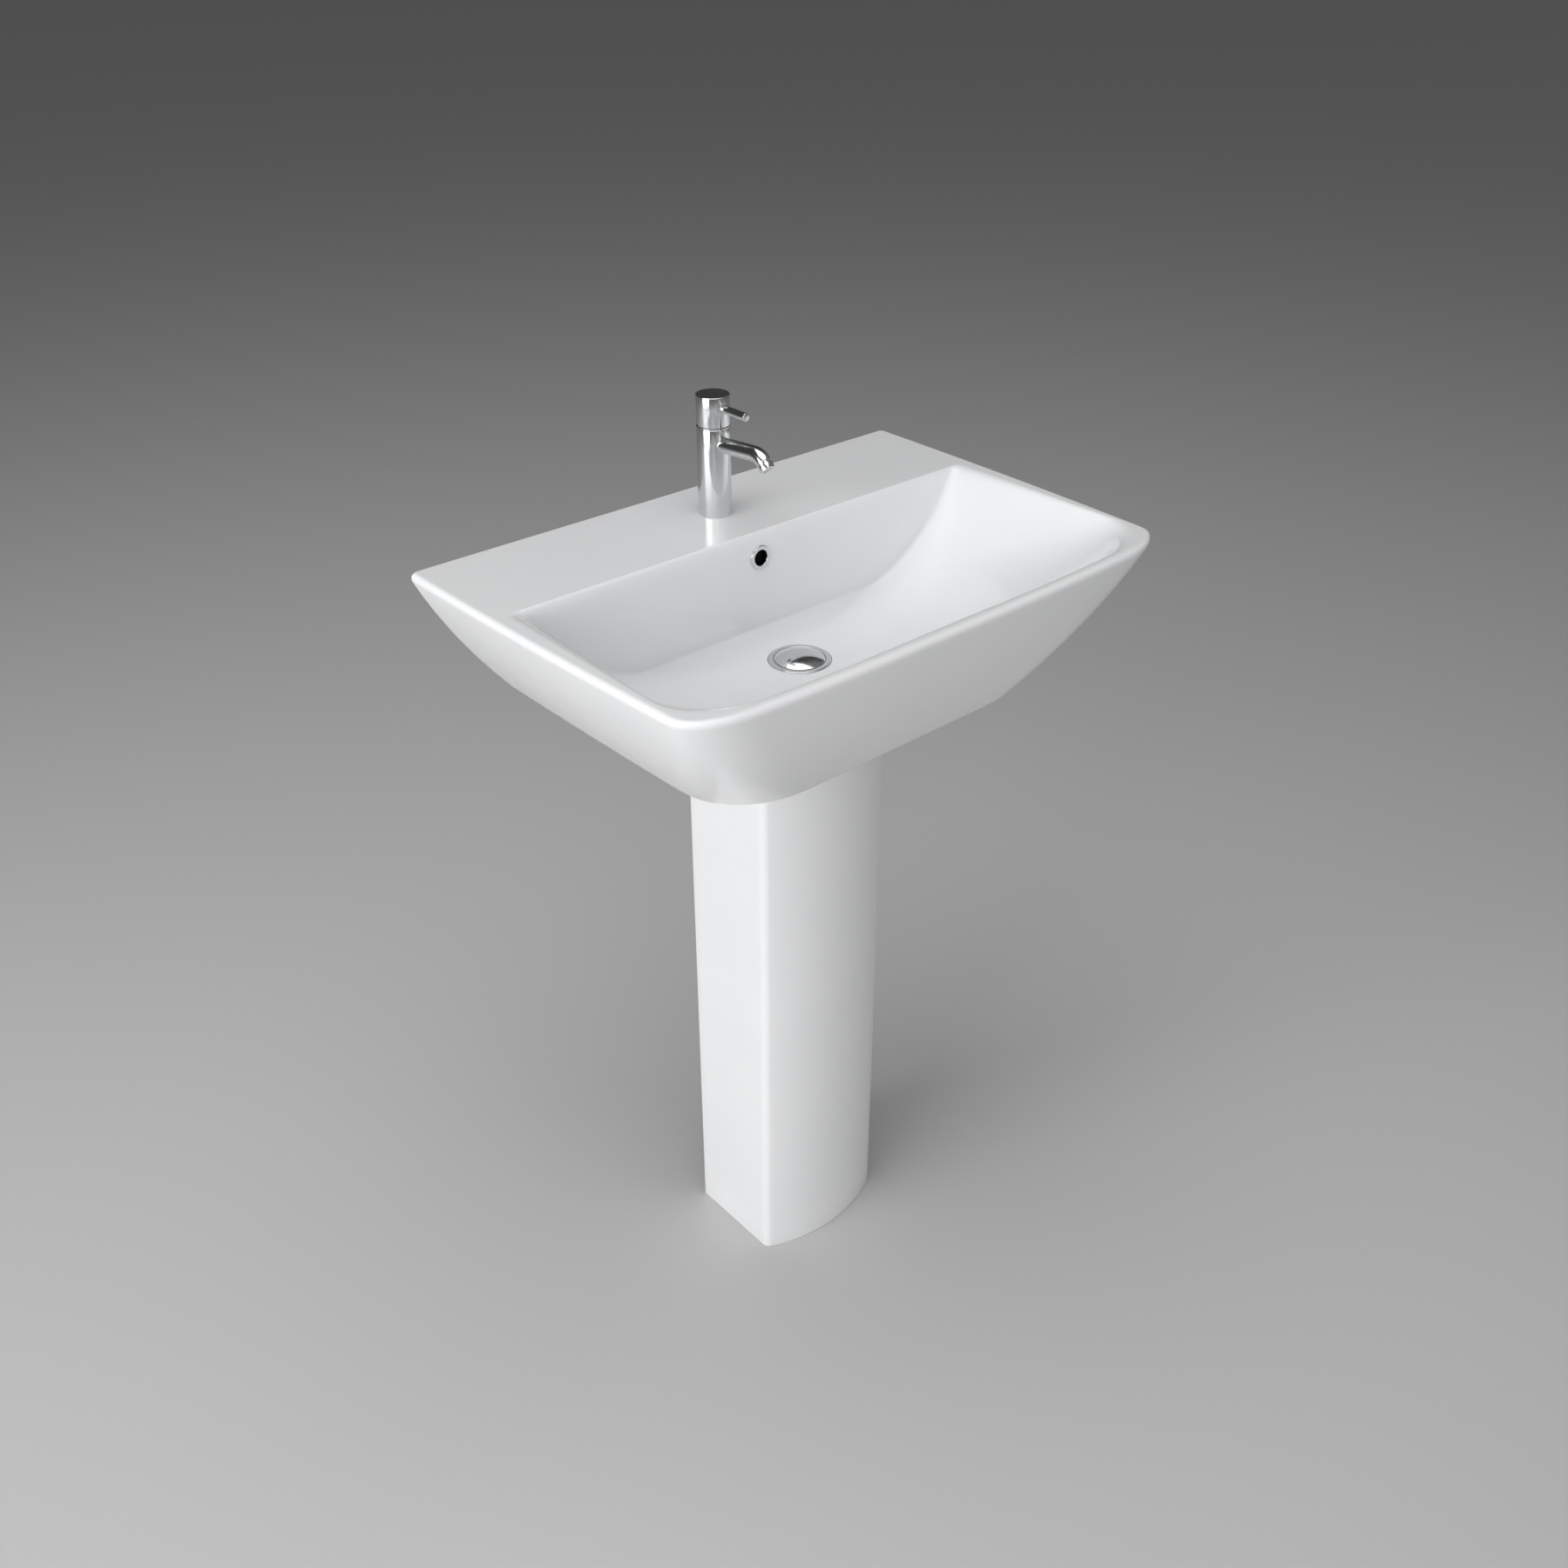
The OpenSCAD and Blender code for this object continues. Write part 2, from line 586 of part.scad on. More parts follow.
plug_crown = 6.5;
plug_dome_r = (plug_r * plug_r + plug_crown * plug_crown) / (2 * plug_crown);
module waste_plug() {
    dome_edge = asin(plug_r / plug_dome_r);
    color("silver") placed() at_waste(0) rotate_extrude() polygon(concat(
        [[0, guide_z - 4], [3, guide_z - 4], [3, plug_z - 5], [18.6, plug_z - 5],
            [18.6, plug_z - 3.5], [17, plug_z - 3.5], [17, plug_z - 1], [20.5, plug_z - 0.4],
            [24.6, plug_z], [plug_r, plug_z + 0.3]],
        [for (i = [0 : 9]) let (a = dome_edge * (1 - i / 10))
            [plug_dome_r * sin(a), plug_z + 1.4 + plug_crown + plug_dome_r * (cos(a) - 1)]],
        [[0, plug_z + 1.4 + plug_crown]]
    ));
}
module plug_seal() {
    color("black") placed() at_waste(plug_z - 3.5) tube(19.2, 17, 2.3);
}

// ---- bottle trap ----
trap_r = 31;
trap_bore_r = 28.6;
trap_top = outlet_height + 18;
trap_foot = outlet_height - 47;
dip_r = 16;
module trap_inlet_nut() {
    color("white") placed() at_waste(tail_end - 11) difference() {
        union() {
            cylinder(r = 25.5, h = 24);
            for (a = [0 : 30 : 330]) rotate(a) translate([24, -1.2, 3]) cube([3, 2.4, 18]);
        }
        translate([0, 0, -1]) cylinder(r = dip_r + 0.2, h = 40);
        translate([0, 0, 6]) cylinder(r = tail_r, h = 40);
    }
}
module trap_inlet_washer() {
    color("black") placed() at_waste(tail_end - 2.6) tube(tail_r, 15, 2.6);
}
module trap_dip_tube() {
    color("white") placed() at_waste(trap_foot + 8) difference() {
        union() {
            cylinder(r = dip_r, h = tail_end - 5 - trap_foot - 8);
            translate([0, 0, tail_end - 5 - trap_foot - 8]) cylinder(r = tail_r - 0.4, h = 2.4);
        }
        translate([0, 0, -1]) cylinder(r = dip_r - 1.8, h = 200);
    }
}
module trap_body() {
    color("white") placed() difference() {
        union() {
            at_waste(trap_foot) cylinder(r = trap_r, h = trap_top - trap_foot - 4);
            at_waste(trap_top - 4) cylinder(r1 = trap_r, r2 = trap_r - 4, h = 4);
            at_waste(trap_top) cylinder(r = 21, h = 3);
            along_y(-waste_setback + 56, outlet_height) cylinder(r = tail_r, h = 30);
        }
        at_waste(trap_foot - 1) cylinder(r = trap_bore_r, h = trap_top - trap_foot - 3);
        at_waste(trap_foot) cylinder(r = dip_r, h = 100);
        along_y(-waste_setback + 57, outlet_height) cylinder(r = 17.6, h = 40);
    }
}
module trap_cup() {
    color("white") placed() at_waste(trap_foot - 26) difference() {
        union() {
            rotate_extrude() polygon(concat(
                [[0, 0], [26, 0]],
                [for (a = [-90 : 15 : 0]) [26 + 8 * cos(a), 8 + 8 * sin(a)]],
                [[34, 44], [0, 44]]
            ));
            for (a = [0 : 30 : 330]) rotate(a) translate([33, -1.2, 22]) cube([2.4, 2.4, 20]);
        }
        translate([0, 0, 3]) cylinder(r = trap_bore_r, h = 60);
        translate([0, 0, 24]) cylinder(r = trap_r, h = 60);
    }
}
module trap_cup_seal() {
    color("black") placed() at_waste(trap_foot - 2) tube(trap_r, trap_bore_r, 2);
}
module trap_outlet_nut() {
    color("white") placed() along_y(-waste_setback + 66, outlet_height) difference() {
        union() {
            cylinder(r = 25.5, h = 24);
            for (a = [0 : 30 : 330]) rotate(a) translate([24, -1.2, 3]) cube([3, 2.4, 18]);
        }
        translate([0, 0, -1]) cylinder(r = dip_r + 0.2, h = 40);
        translate([0, 0, 5]) cylinder(r = tail_r, h = 40);
    }
}
module trap_outlet_washer() {
    color("black") placed() along_y(-waste_setback + 61, outlet_height) tube(20, dip_r, 5);
}
module outlet_pipe() {
    color("silver") placed() along_y(0, outlet_height) tube(dip_r, 14.6, waste_setback - 40);
}
module wall_rosette() {
    color("silver") placed() along_y(0, outlet_height) difference() {
        rotate_extrude() polygon(concat(
            [[0, 0], [35, 0]],
            [for (a = [10 : 10 : 80]) [22 + 13 * cos(a), 10 * sin(a)]],
            [[22, 10], [18, 11], [0, 11]]
        ));
        translate([0, 0, -1]) cylinder(r = dip_r, h = 20);
        translate([0, 0, -1]) cylinder(r = 30, h = 3.5);
    }
}

/* [Parts] */

basin();
pedestal();
pedestal_gasket();
wall_sleeves();
overflow_ring();
tap_body();
tap_base_seal();
tap_trim_ring();
tap_spout();
aerator_housing();
aerator_insert();
aerator_washer();
tap_fixing_stud();
tap_clamp_gasket();
tap_clamp_washer();
tap_fixing_nut();
cartridge_base();
port_seals();
fixed_disc();
moving_disc();
cartridge_driver();
stem_pin();
cartridge_housing();
cartridge_nut();
cartridge_stem();
handle_cap();
lever_pin();
grub_screw();
waste_body();
waste_top_seal();
waste_lower_seal();
waste_backnut();
plug_guide();
waste_plug();
plug_seal();
trap_inlet_nut();
trap_inlet_washer();
trap_dip_tube();
trap_body();
trap_cup();
trap_cup_seal();
trap_outlet_nut();
trap_outlet_washer();
outlet_pipe();
wall_rosette();
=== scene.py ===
import json
import math
import bpy
import bmesh
from mathutils import Matrix, Vector

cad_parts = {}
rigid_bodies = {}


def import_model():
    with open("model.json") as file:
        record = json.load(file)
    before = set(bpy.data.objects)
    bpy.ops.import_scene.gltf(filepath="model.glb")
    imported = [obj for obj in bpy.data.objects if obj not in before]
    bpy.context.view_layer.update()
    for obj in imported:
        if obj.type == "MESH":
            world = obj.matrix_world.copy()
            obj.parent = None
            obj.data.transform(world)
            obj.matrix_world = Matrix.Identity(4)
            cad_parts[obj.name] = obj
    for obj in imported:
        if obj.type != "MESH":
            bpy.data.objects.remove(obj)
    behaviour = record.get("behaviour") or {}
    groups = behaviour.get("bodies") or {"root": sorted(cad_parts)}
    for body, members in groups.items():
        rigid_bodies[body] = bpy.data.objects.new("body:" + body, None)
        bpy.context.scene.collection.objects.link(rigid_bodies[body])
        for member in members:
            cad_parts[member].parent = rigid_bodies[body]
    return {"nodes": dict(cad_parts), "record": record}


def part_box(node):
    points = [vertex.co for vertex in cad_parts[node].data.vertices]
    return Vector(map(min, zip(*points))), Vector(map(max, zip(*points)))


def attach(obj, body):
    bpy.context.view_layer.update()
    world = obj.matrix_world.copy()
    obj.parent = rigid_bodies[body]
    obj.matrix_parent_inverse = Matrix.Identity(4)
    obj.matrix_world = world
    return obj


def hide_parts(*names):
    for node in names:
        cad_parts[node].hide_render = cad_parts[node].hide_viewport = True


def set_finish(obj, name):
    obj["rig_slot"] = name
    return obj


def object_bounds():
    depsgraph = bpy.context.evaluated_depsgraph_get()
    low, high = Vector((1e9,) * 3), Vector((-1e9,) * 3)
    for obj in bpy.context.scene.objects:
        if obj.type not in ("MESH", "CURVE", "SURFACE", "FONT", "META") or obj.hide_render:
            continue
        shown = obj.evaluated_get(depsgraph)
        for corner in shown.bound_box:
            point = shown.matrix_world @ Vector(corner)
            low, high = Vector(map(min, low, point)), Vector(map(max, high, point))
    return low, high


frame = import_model()
nodes = frame["nodes"]
cad_low, cad_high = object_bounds()

# ---------------------------------------------------------------- measures, in millimetres from the wall
wall_y = cad_high.y


def put(x, y, z):
    """A point given in millimetres from the wall plane and the floor, in the row frame in metres."""
    return (x / 1000, wall_y + y / 1000, z / 1000)


def mm_box(name):
    """Both corners of a node's box, in the measures of put()."""
    return [[v * 1000 for v in (corner.x, corner.y - wall_y, corner.z)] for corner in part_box(name)]


basin_low, basin_high = mm_box("basin")
waste_low, waste_high = mm_box("waste_body")
tap_low, tap_high = mm_box("tap_body")
cap_low, cap_high = mm_box("handle_cap")
ped_low, ped_high = mm_box("pedestal")
rim_z = basin_high[2]
base_z = basin_low[2]
tap_y = (tap_low[1] + tap_high[1]) / 2
waste_y = (waste_low[1] + waste_high[1]) / 2
seam_z = cap_low[2]


# ---------------------------------------------------------------- mesh helpers
def make(name, verts, faces, body, slot, replaces, sharp=32):
    mesh = bpy.data.meshes.new(name)
    mesh.from_pydata([put(*v) for v in verts], [], faces)
    mesh.validate()
    obj = bpy.data.objects.new(name, mesh)
    bpy.context.scene.collection.objects.link(obj)
    bm = bmesh.new()
    bm.from_mesh(mesh)
    bmesh.ops.remove_doubles(bm, verts=bm.verts, dist=2e-7)
    bmesh.ops.dissolve_degenerate(bm, edges=bm.edges, dist=1e-8)
    bmesh.ops.delete(bm, geom=[e for e in bm.edges if not e.link_faces], context="EDGES")
    bmesh.ops.recalc_face_normals(bm, faces=bm.faces)
    bm.to_mesh(mesh)
    bm.free()
    mesh.shade_smooth()
    mesh.set_sharp_from_angle(angle=math.radians(sharp))
    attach(obj, body)
    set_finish(obj, slot)
    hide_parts(*replaces)
    return obj


def loft(rings, close_rows=True):
    """Vertices and quads between neighbouring rings; the last ring joins the first if close_rows."""
    n = len(rings[0])
    verts = [p for r in rings for p in r]
    faces = []
    rows = len(rings)
    for r in range(rows if close_rows else rows - 1):
        s = (r + 1) % rows
        for i in range(n):
            j = (i + 1) % n
            faces.append((r * n + i, r * n + j, s * n + j, s * n + i))
    return verts, faces


def cutter(verts, faces):
    mesh = bpy.data.meshes.new("tool")
    mesh.from_pydata([put(*v) for v in verts], [], faces)
    obj = bpy.data.objects.new("tool", mesh)
    bpy.context.scene.collection.objects.link(obj)
    bm = bmesh.new()
    bm.from_mesh(mesh)
    bmesh.ops.recalc_face_normals(bm, faces=bm.faces)
    bm.to_mesh(mesh)
    bm.free()
    return obj


def box_solid(x0, x1, y0, y1, z0, z1):
    v = [(x, y, z) for z in (z0, z1) for y in (y0, y1) for x in (x0, x1)]
    return v, [(0, 1, 3, 2), (4, 5, 7, 6), (0, 1, 5, 4), (2, 3, 7, 6), (0, 2, 6, 4), (1, 3, 7, 5)]


def circle(radius, n, cx=0, cy=0):
    turns = [2 * math.pi * i / n for i in range(n)]
    return [(cx + radius * math.cos(a), cy + radius * math.sin(a)) for a in turns]


def rod_solid(axis, centre, radius, a, b, n=96):
    """A closed cylinder along axis y or z from a to b."""
    verts = [(u, v, t) if axis == "z" else (u, t, v) for t in (a, b) for u, v in circle(radius, n, *centre)]
    faces = [tuple(range(n)), tuple(range(n, 2 * n))]
    faces += [(i, (i + 1) % n, n + (i + 1) % n, n + i) for i in range(n)]
    return verts, faces


def carve(obj, operation, solid):
    tool = cutter(*solid)
    mod = obj.modifiers.new("cut", "BOOLEAN")
    mod.operation = operation
    mod.solver = "EXACT"
    mod.object = tool
    dg = bpy.context.evaluated_depsgraph_get()
    mesh = bpy.data.meshes.new_from_object(obj.evaluated_get(dg))
    obj.modifiers.remove(mod)
    obj.data = mesh
    bpy.data.objects.remove(tool)


def moved(solid, place):
    """A solid or mesh drawn about the origin, put in place."""
    verts, faces = solid
    return [tuple(place @ Vector(v)) for v in verts], faces


def soften(points, steps=5):
    """A closed outline of (r, z, rounding) corners, with each rounded corner turned into a short curve."""
    out = []
    n = len(points)
    for i, point in enumerate(points):
        here = Vector(point[:2])
        r = point[2] if len(point) > 2 else 0
        if not r:
            out.append(tuple(here))
            continue
        before, after = Vector(points[i - 1][:2]) - here, Vector(points[(i + 1) % n][:2]) - here
        half = before.angle(after) / 2
        reach = min(r / math.tan(half), 0.48 * before.length, 0.48 * after.length)
        a, b = here + before.normalized() * reach, here + after.normalized() * reach
        w = math.sin(half)
        for k in range(steps + 1):
            t = k / steps
            ca, cm, cb = (1 - t) ** 2, 2 * t * (1 - t) * w, t * t
            out.append(tuple((a * ca + here * cm + b * cb) / (ca + cm + cb)))
    return out


def revolve(points, n=128, steps=5):
    """Verts and faces of the outline turned about +Z."""
    return loft([[(x, y, z) for x, y in circle(r, n)] for r, z in soften(points, steps)])


def turned(name, points, place, body, slot, old, n=128, sharp=35):
    return make(name, *moved(revolve(points, n), place), body, slot, old, sharp)


def settle(obj, sharp):
    obj.data.shade_smooth()
    obj.data.set_sharp_from_angle(angle=math.radians(sharp))


# ---------------------------------------------------------------- basin
def mix(a, b, t):
    return a + (b - a) * t


half_rear, half_front = 305, 294
base_half, base_front = 208, 337.5
depth, height = 411, rim_z - base_z
rim_corner, base_corner = (56, 29), (80, 70)
front_bow, side_bulge = 10.5, 0.312
lip_w, lip_h, foot_r = 8.5, 8, 1.5
wall_reach = 59
bowl_half, bowl_widening, bowl_front, bowl_depth = 275, 9, 196, 114
drain_r, floor_rise, bowl_power = 33, 0.877, 0.28
floor_z = rim_z - bowl_depth
pad_z = floor_z - 24
BACK, REAR, SIDE, CORNER, FRONT = 18, 10, 70, 30, 40      # points along each stretch of a half ring
FLOOR = 130                                               # rings between the waste and the foot of the roll


def half_ring(xr, xf, yr, yf, rr, rx, ry, bow, z, power):
    pts = [((xr - rr) * i / BACK, yr, z) for i in range(BACK)]
    for i in range(REAR):
        a = math.radians(90 - 90 * i / REAR)
        pts.append((xr - rr + rr * math.cos(a), yr - rr + rr * math.sin(a), z))
    for i in range(SIDE):
        t = i / SIDE
        pts.append((xr + (xf - xr) * t ** power, (yr - rr) + (yf + ry - yr + rr) * t + bow * t * 0.9, z))
    for i in range(CORNER):
        a = math.radians(90 * i / CORNER)
        x = xf - rx + rx * math.cos(a)
        pts.append((x, yf + ry - ry * math.sin(a) + bow * (x / xf) ** 3, z))
    for i in range(FRONT):
        x = (xf - rx) * (1 - i / FRONT)
        pts.append((x, yf + bow * (x / xf) ** 3, z))
    pts.append((0, yf, z))
    return pts


def ease(h, start, passes=14):
    """Evens out the curvature of a half ring from index `start` to its middle at the front."""
    pts = list(h)
    for _ in range(passes):
        new = list(pts)
        for i in range(start, len(pts)):
            a, b = pts[i - 1], pts[i]
            c = pts[i + 1] if i + 1 < len(pts) else (-a[0], a[1], 0)
            new[i] = ((a[0] + 2 * b[0] + c[0]) / 4, (a[1] + 2 * b[1] + c[1]) / 4, b[2])
        pts = new
    return pts


def ring(xr, xf, yr, yf, rr, rx, ry, bow, z, power=2):
    h = ease(half_ring(xr, xf, yr, yf, rr, rx, ry, bow, z, power), BACK + REAR + 4)
    return h + [(-p[0], p[1], p[2]) for p in h[-2:0:-1]]


def convex(t):
    return t - side_bulge * t * (1 - t)


def skirt_ring(t, inset, z, back):
    u = convex(t)
    return ring(mix(half_rear, base_half, u) - inset, mix(half_front, base_half - 4, u) - inset,
                -back, -mix(depth, base_front, u) + inset, 2.5,
                max(mix(rim_corner[0], base_corner[0], t) - inset, 4),
                max(mix(rim_corner[1], base_corner[1], t) - inset, 4), mix(front_bow, 0, t), z)


def bowl_w(s):
    return drain_r + (bowl_half - drain_r) * (1 - s) ** bowl_power


def bowl_f(s):
    return drain_r + (bowl_front - drain_r) * (1 - s) ** bowl_power


def bowl_b(s):
    if s < floor_rise:
        return wall_reach - 2 * s
    return drain_r + (wall_reach - 2 - drain_r) * ((1 - s) / (1 - floor_rise)) ** 0.6


def bowl_ring(s, out, drop, rear_out=0, b=None):
    w, f = bowl_w(s) + out, bowl_f(s) + out
    b = (bowl_b(s) if b is None else b) + rear_out
    grow = 1 + bowl_widening / bowl_half
    rear_r = 8 + 14 * (s / floor_rise) ** 5
    if s > floor_rise:
        rear_r = mix(22, 0.9 * drain_r, ((s - floor_rise) / (1 - floor_rise)) ** 0.5)
    return ring(w, w * grow, b + waste_y, -f + waste_y, min(rear_r, 0.9 * min(w, b)),
                min(56 + 150 * s, 0.9 * w), min(44 + 150 * s, 0.9 * f), front_bow * (1 - s),
                rim_z - bowl_depth * s - drop, 0.7)


def round_ring(r, z):
    """A true circle round the waste, with its points where those of the other rings are."""
    base = ring(r, r, r + waste_y, -r + waste_y, 0.9 * r, 0.9 * r, 0.9 * r, 0, z)
    out = []
    for x, y, _ in base:
        d = math.hypot(x, y - waste_y)
        out.append((x * r / d, waste_y + (y - waste_y) * r / d, z))
    return out


def seat_ring(out, z):
    return ring(112 + out, 109 + out, out - 105, -276 - out, 12, 50, 40, 0, z)


def blend_rings(a, b, t):
    return [tuple(mix(p[k], q[k], t) for k in range(3)) for p, q in zip(a, b)]


def soft_b(s):
    """Distance of the bowl's rear wall behind the waste, with a small fillet where the floor meets it."""
    total, weight = 0, 0
    for k in range(-6, 7):
        g = math.exp(-(k / 3) ** 2)
        total += g * bowl_b(min(max(s + k * 0.0025, 0), 1))
        weight += g
    return total / weight


ROLL, LIP = 28, 14                     # rings over the roll and over the outer lip
roll_share = 0.15                      # share of the bowl's depth at the foot of the roll
recess_r, mouth = 31.6, 0.6            # recess for the waste's flange and the rounding of its mouth
bore_r = 23                            # hole through the floor below the recess


def edge_ring(out=0.0):
    """Where the roll of the bowl's edge reaches the level rim, clear of the outer lip all the way round."""
    gap = lip_w + 0.6 - out / 3
    return ring(bowl_half + 11 + out, half_front - gap, -132 + out, -depth + gap, 8, 64, 44, front_bow,
                rim_z, 0.7)


def roll_rings():
    """The roll from the bowl's side to the rim: along the side at its foot, level at its top."""
    step = 0.004
    foot = bowl_ring(roll_share, 0, 0, b=soft_b(roll_share))
    above = bowl_ring(roll_share - step, 0, 0, b=soft_b(roll_share - step))
    top = edge_ring()
    rows = []
    for k in range(1, ROLL + 1):
        u = k / ROLL
        row = []
        for p, q, e in zip(foot, above, top):
            p, q, e = Vector(p), Vector(q), Vector(e)
            climb = (q - p).normalized()
            flat = Vector((e.x - p.x, e.y - p.y, 0))
            reach = (e - p).length
            c1, c2 = p + climb * 0.42 * reach, e - flat.normalized() * min(0.48 * reach, 0.8 * flat.length)
            v = p * (1 - u) ** 3 + c1 * 3 * u * (1 - u) ** 2 + c2 * 3 * u * u * (1 - u) + e * u ** 3
            row.append(tuple(v))
        rows.append(row)
    return rows


def basin_rings():
    rows = []
    for k in range(5):                    # recess for the waste's flange, with a rounded mouth
        a = math.radians(90 * k / 4)
        rows.append(round_ring(recess_r + mouth * (1 - math.cos(a)), floor_z - mouth + mouth * math.sin(a)))
    rows.append(round_ring(drain_r, floor_z))
    start = round_ring(drain_r, floor_z)
    shares = [1 - u ** 3 for u in [0.02 + 0.98 * i / FLOOR for i in range(FLOOR)]]
    for i, s in enumerate(shares):
        if s < roll_share + 0.004:
            break
        r = bowl_ring(s, 0, 0, b=soft_b(s))
        t = min(1, (i + 1) / 12)
        rows.append(blend_rings(start, r, t * t * (3 - 2 * t)) if t < 1 else r)
    rows += roll_rings()
    # level rim, rounded lip and outer face
    rows += [edge_ring(0.5), skirt_ring(0, lip_w + 0.3, rim_z, 0.3)]
    for k in range(LIP + 1):
        a = math.radians(90 * k / LIP)
        d = lip_h * (1 - math.cos(a))
        rows.append(skirt_ring(d / height, lip_w * (1 - math.sin(a)), rim_z - d, 0))
    for k in range(1, 40):
        t = lip_h / height + (1 - foot_r / height - lip_h / height) * k / 40
        rows.append(skirt_ring(t, 0, rim_z - t * height, 0))
    for k in range(5):
        a = math.radians(90 * k / 4)
        rows.append(skirt_ring(1 - foot_r * (1 - math.sin(a)) / height, foot_r * (1 - math.cos(a)),
                               base_z + foot_r * (1 - math.sin(a)), 0))
    # inside of the skirt, underside of the bowl and the seat
    for z in (base_z, base_z + 10, base_z + 30, base_z + 60, rim_z - 66):
        rows.append(skirt_ring((rim_z - z) / height, 13, z, 12))
    for s, out, drop in ((0.5, 8, 7), (0.62, 7, 9), (0.74, 5, 10), (0.83, 4, 11)):
        rows.append(bowl_ring(s, out, drop, 10))
    rows += [seat_ring(2, pad_z + 18), seat_ring(2, pad_z + 2), seat_ring(0, pad_z)]
    rows += [round_ring(drain_r, pad_z), round_ring(bore_r, pad_z)]
    rows += [round_ring(bore_r, floor_z - 3), round_ring(recess_r, floor_z - 3)]
    return rows


basin = make("basin_glazed", *loft(basin_rings()), "sink", "glaze", ["basin"])
duct = (-22, 22, -132, -100)
carve(basin, "UNION", box_solid(*duct, pad_z + 1, rim_z - 10))
deck_back, deck_front, deck_under = -12, -122, rim_z - 12
for x0, x1 in ((-248, -22), (22, 248)):
    carve(basin, "DIFFERENCE", box_solid(x0, x1, deck_front, deck_back, rim_z - 71, deck_under))
carve(basin, "DIFFERENCE", box_solid(-23, 23, -100, deck_back, rim_z - 71, deck_under))
carve(basin, "DIFFERENCE", rod_solid("z", (0, tap_y), 14, deck_under - 5, rim_z + 5))
overflow_z = rim_z - 26
carve(basin, "DIFFERENCE", rod_solid("y", (0, overflow_z), 10, -150, -110, 64))
carve(basin, "DIFFERENCE", box_solid(-14, 14, -122, -106, pad_z + 10, rim_z - 18))
carve(basin, "DIFFERENCE", box_solid(-14, 14, waste_y + 10, -106.5, pad_z + 10, pad_z + 18))
for x in (-140, 140):
    carve(basin, "DIFFERENCE", rod_solid("y", (x, rim_z - 50), 8, -16, 2, 48))
for v in basin.data.vertices:
    v.co.x = min(max(v.co.x, cad_low.x), cad_high.x)
    v.co.y = min(max(v.co.y, cad_low.y), cad_high.y)
settle(basin, 30)


# ---------------------------------------------------------------- pedestal
WALL, back_round = 11, 3


def pedestal_plan(inset, side, corner=11.0):
    """Open-backed U from one back edge round the front to the other. side is 1 outside, -1 inside."""
    back = -ped_high[1]
    w = ped_high[0] - inset
    front = ped_low[1]
    bow_r = 180 - inset
    cy = front + 180
    r = max(corner - inset, 3)
    cx = w - r
    yc = cy - math.sqrt((bow_r - r) ** 2 - cx ** 2)
    end = math.atan2(cy - yc, cx)
    pts = [(ped_high[0] - WALL / 2, -back)]
    for i in range(6):
        a = math.radians(18 * i)
        pts.append((w - side * back_round * (1 - math.sin(a)), -back - back_round * (1 - math.cos(a))))
    for i in range(1, 12):
        pts.append((w, mix(-back - back_round, yc, i / 12)))
    for i in range(14):
        a = end * i / 14
        pts.append((cx + r * math.cos(a), yc - r * math.sin(a)))
    bow = math.pi / 2 - end
    for i in range(20):
        a = end + bow * i / 20
        pts.append((bow_r * math.cos(a), cy - bow_r * math.sin(a)))
    pts.append((0, cy - bow_r))
    return pts + [(-x, y) for x, y in pts[-2::-1]]


def pedestal_section(outer_inset, z):
    """One closed level of the pedestal's wall: outer plan, and the inner plan walked back."""
    outer = pedestal_plan(outer_inset, 1)
    inner = pedestal_plan(WALL - outer_inset, -1)
    return [(x, y, z) for x, y in outer] + [(x, y, z) for x, y in reversed(inner[1:-1])]


ped_top = ped_high[2]
rows = []
for k in range(5):
    a = math.radians(22.5 * k)
    rows.append(pedestal_section(foot_r * (1 - math.sin(a)), foot_r * (1 - math.cos(a))))
for i in range(1, 30):
    rows.append(pedestal_section(0, mix(foot_r, ped_top - 1, i / 30)))
rows += [pedestal_section(0, ped_top - 1), pedestal_section(0.3, ped_top - 0.3), pedestal_section(1, ped_top)]
verts, faces = loft(rows, close_rows=False)
n = len(rows[0])
span = n // 2
for base in (0, (len(rows) - 1) * n):
    faces.append((base, base + 1, base + n - 1))
    for i in range(1, span - 1):
        faces.append((base + i, base + i + 1, base + n - 1 - i, base + n - i))
    faces.append((base + span - 1, base + span, base + span + 1))
pedestal = make("pedestal_glazed", verts, faces, "sink", "glaze", ["pedestal"])
for x in (-52, 52):
    carve(pedestal, "UNION", box_solid(x - 22, x + 22, ped_high[1] - 46, ped_high[1] - 12, 0, 16))
for x in (-52, 52):
    carve(pedestal, "DIFFERENCE", rod_solid("z", (x, ped_high[1] - 29), 3.5, -3, 20, 48))
settle(pedestal, 30)


# ---------------------------------------------------------------- tap
def upright(y):
    return Matrix.Translation((0, y, 0))


def tilt(degrees):
    return Matrix.Rotation(math.radians(degrees), 4, "X")


tap_r = tap_high[0]
body_top, tap_top, chamber_r = tap_high[2], cap_high[2], 13.4
seat_z = seam_z - 36
rise, drop, bend_r, spout_r, spout_bore = 5, 46, 18, 7.5, 5.5
reach = 80
straight = (reach - bend_r * (math.sin(math.radians(rise)) + math.sin(math.radians(drop)))
            - 8 * math.cos(math.radians(drop))) / math.cos(math.radians(rise))
at_tap = upright(tap_y)
on_spout = Matrix.Translation((0, tap_y, tap_top - 48.5)) @ tilt(90 - rise)


def bent(degrees):
    """Frame on the spout's axis after the bend has turned through the given angle."""
    back, out = Matrix.Translation((0, -bend_r, straight)), Matrix.Translation((0, bend_r, 0))
    return on_spout @ back @ tilt(degrees) @ out


